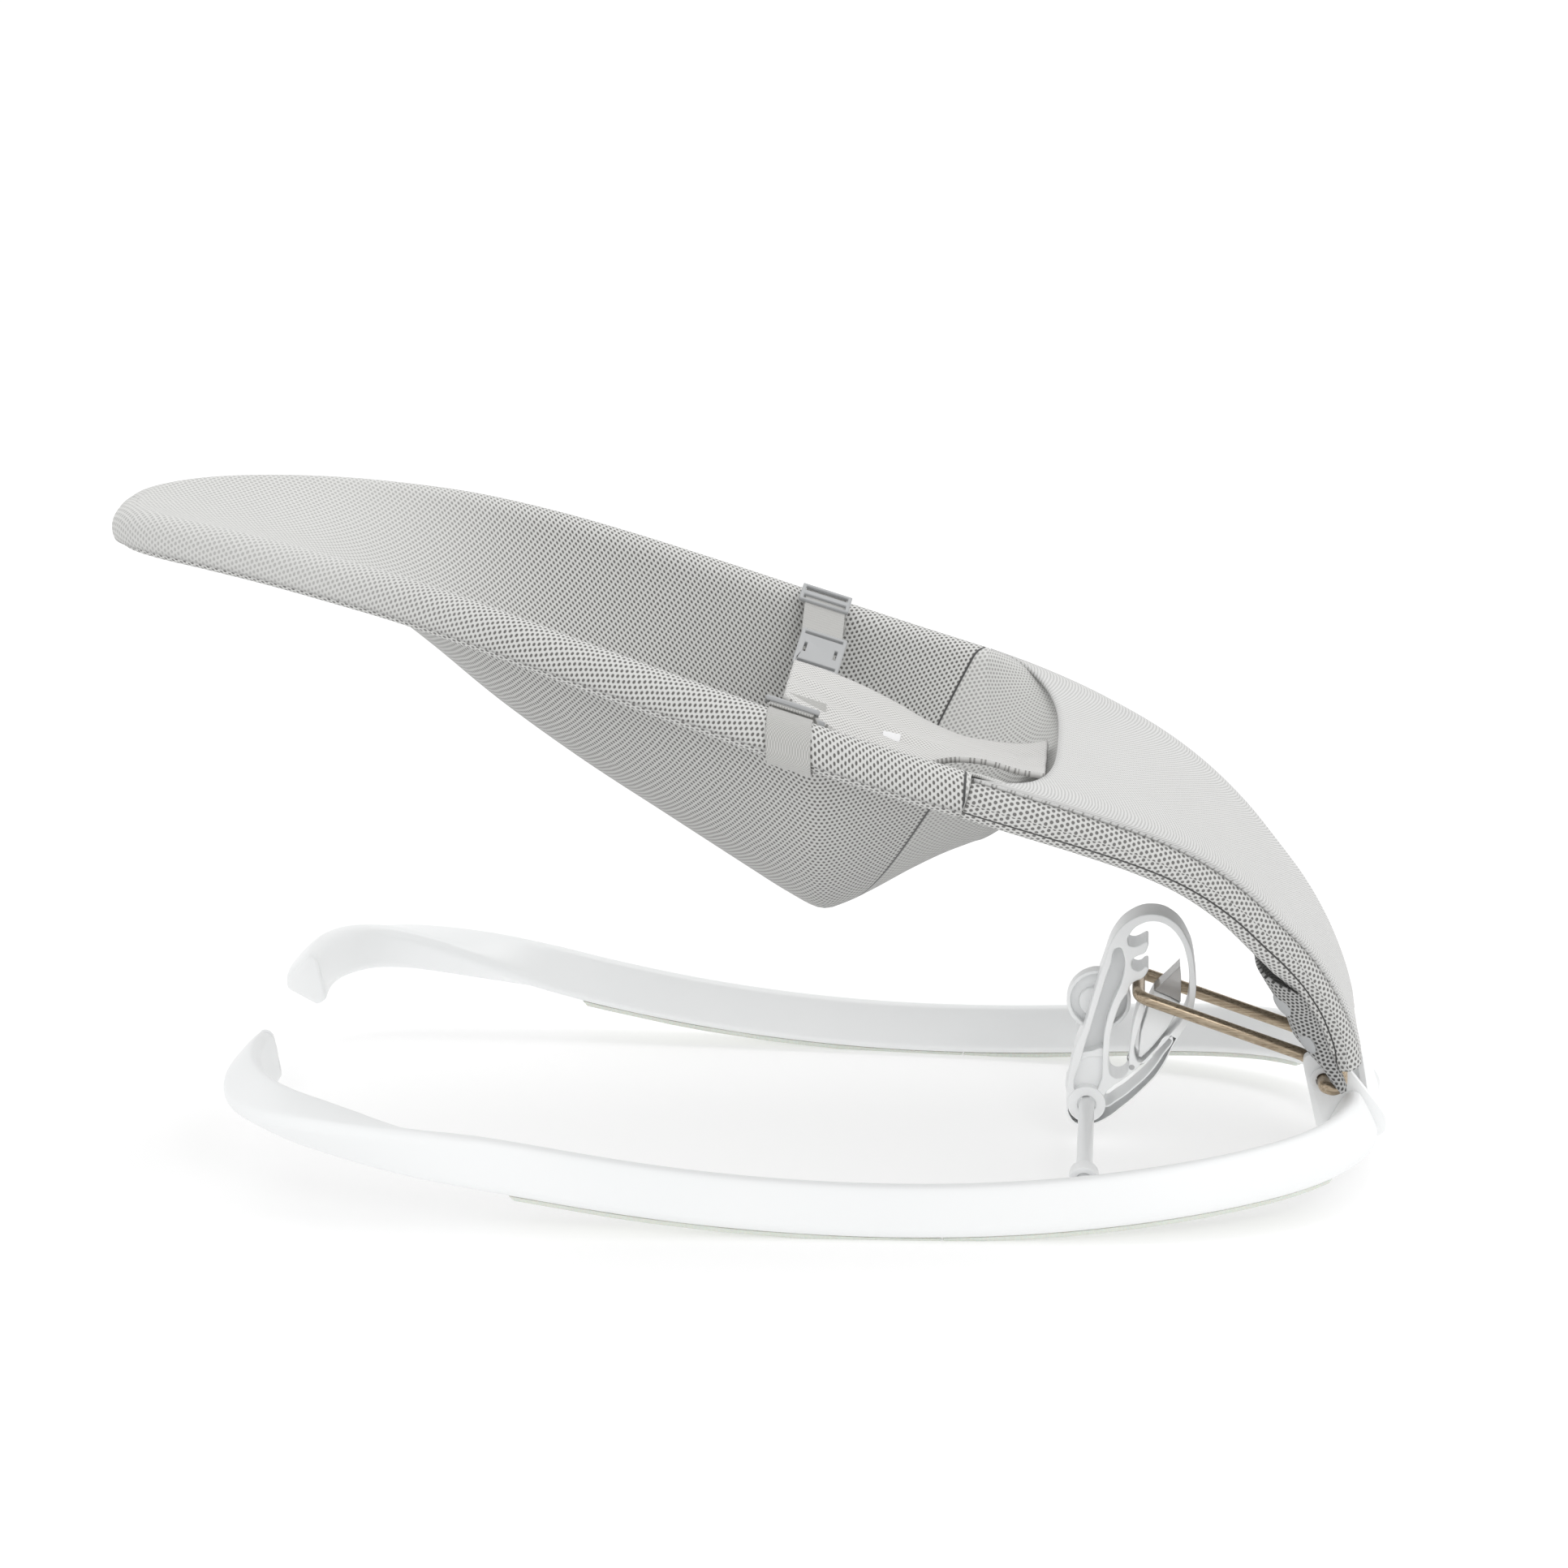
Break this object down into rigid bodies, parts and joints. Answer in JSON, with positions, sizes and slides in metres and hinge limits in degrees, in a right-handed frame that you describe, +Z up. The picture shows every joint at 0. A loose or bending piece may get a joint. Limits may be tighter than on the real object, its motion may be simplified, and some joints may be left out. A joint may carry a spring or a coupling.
{
  "type": "bouncer seat",
  "caption": "Folding baby bouncer: white rocker base, notched recline lever, and a bent tube frame with a mesh seat.",
  "frame": {"origin": "centre of the bounding box in plan, at the floor the rocker stands on", "axes": "+X towards the foot end where the seat frame is hinged, +Y towards the occupant's left side, +Z up"},
  "size_m": [0.786, 0.3722, 0.404],
  "materials": {
    "white_plastic": "satin moulded",
    "white_rod": "satin",
    "grip_rubber": "translucent matt",
    "screw_steel": "plated",
    "bronze_wire": "satin bronze plated steel",
    "air_mesh": "knitted spacer mesh",
    "webbing": "woven",
    "grey_plastic": "satin moulded"
  },
  "bodies": {
    "base": {"right_rail": "white_plastic", "left_rail": "white_plastic", "right_end_cap": "white_plastic", "left_end_cap": "white_plastic", "right_grip_strip_head": "grip_rubber", "left_grip_strip_head": "grip_rubber", "right_grip_strip_foot": "grip_rubber", "left_grip_strip_foot": "grip_rubber", "hinge_bracket": "white_plastic", "right_pivot_bushing": "white_plastic", "left_pivot_bushing": "white_plastic", "right_bracket_screw": "screw_steel", "left_bracket_screw": "screw_steel", "cross_rod": "white_rod", "right_rod_socket": "white_plastic", "left_rod_socket": "white_plastic"},
    "lever": {"notch_lever": "white_plastic", "gate_pin": "screw_steel", "gate_spring": "screw_steel"},
    "gate": {"latch_gate": "white_plastic"},
    "seat": {"recline_wire": "bronze_wire", "left_frame_tube": "bronze_wire", "right_frame_tube": "bronze_wire", "head_tube_joiner": "bronze_wire", "left_edge_sleeve": "air_mesh", "right_edge_sleeve": "air_mesh", "left_leg_edge_sleeve": "air_mesh", "right_leg_edge_sleeve": "air_mesh", "seat_hammock": "air_mesh", "leg_panel": "air_mesh", "crotch_flap": "air_mesh", "flap_tag": "webbing", "foot_sleeve": "air_mesh", "upper_snap": "grey_plastic", "lower_snap": "grey_plastic", "left_frame_loop": "webbing", "right_frame_loop": "webbing", "left_waist_strap": "webbing", "right_waist_strap": "webbing", "left_flap_strap": "webbing", "right_flap_strap": "webbing", "left_slider": "grey_plastic", "right_slider": "grey_plastic", "left_buckle": "grey_plastic", "right_buckle": "grey_plastic"}
  },
  "joints": [
    {"name": "seat_recline", "type": "hinge", "parent": "base", "child": "seat", "pos_m": [0.35356, 0, 0.0609], "axis": [0, 1, 0], "range_deg": [-21, 14.4]},
    {"name": "lever_swing", "type": "hinge", "parent": "base", "child": "lever", "pos_m": [0.20846, 0, 0.0296], "axis": [0, 1, 0], "range_deg": [-5, 7]},
    {"name": "gate_swing", "type": "hinge", "parent": "lever", "child": "gate", "pos_m": [0.23606, 0, 0.055], "axis": [0, -1, 0], "range_deg": [0, 4], "stiffness_Nm_per_rad": 0.15, "springref_deg": -17.19}
  ],
  "couplings": [
    {"joint": "lever_swing", "follows": "seat_recline", "ratio": -0.3}
  ]
}
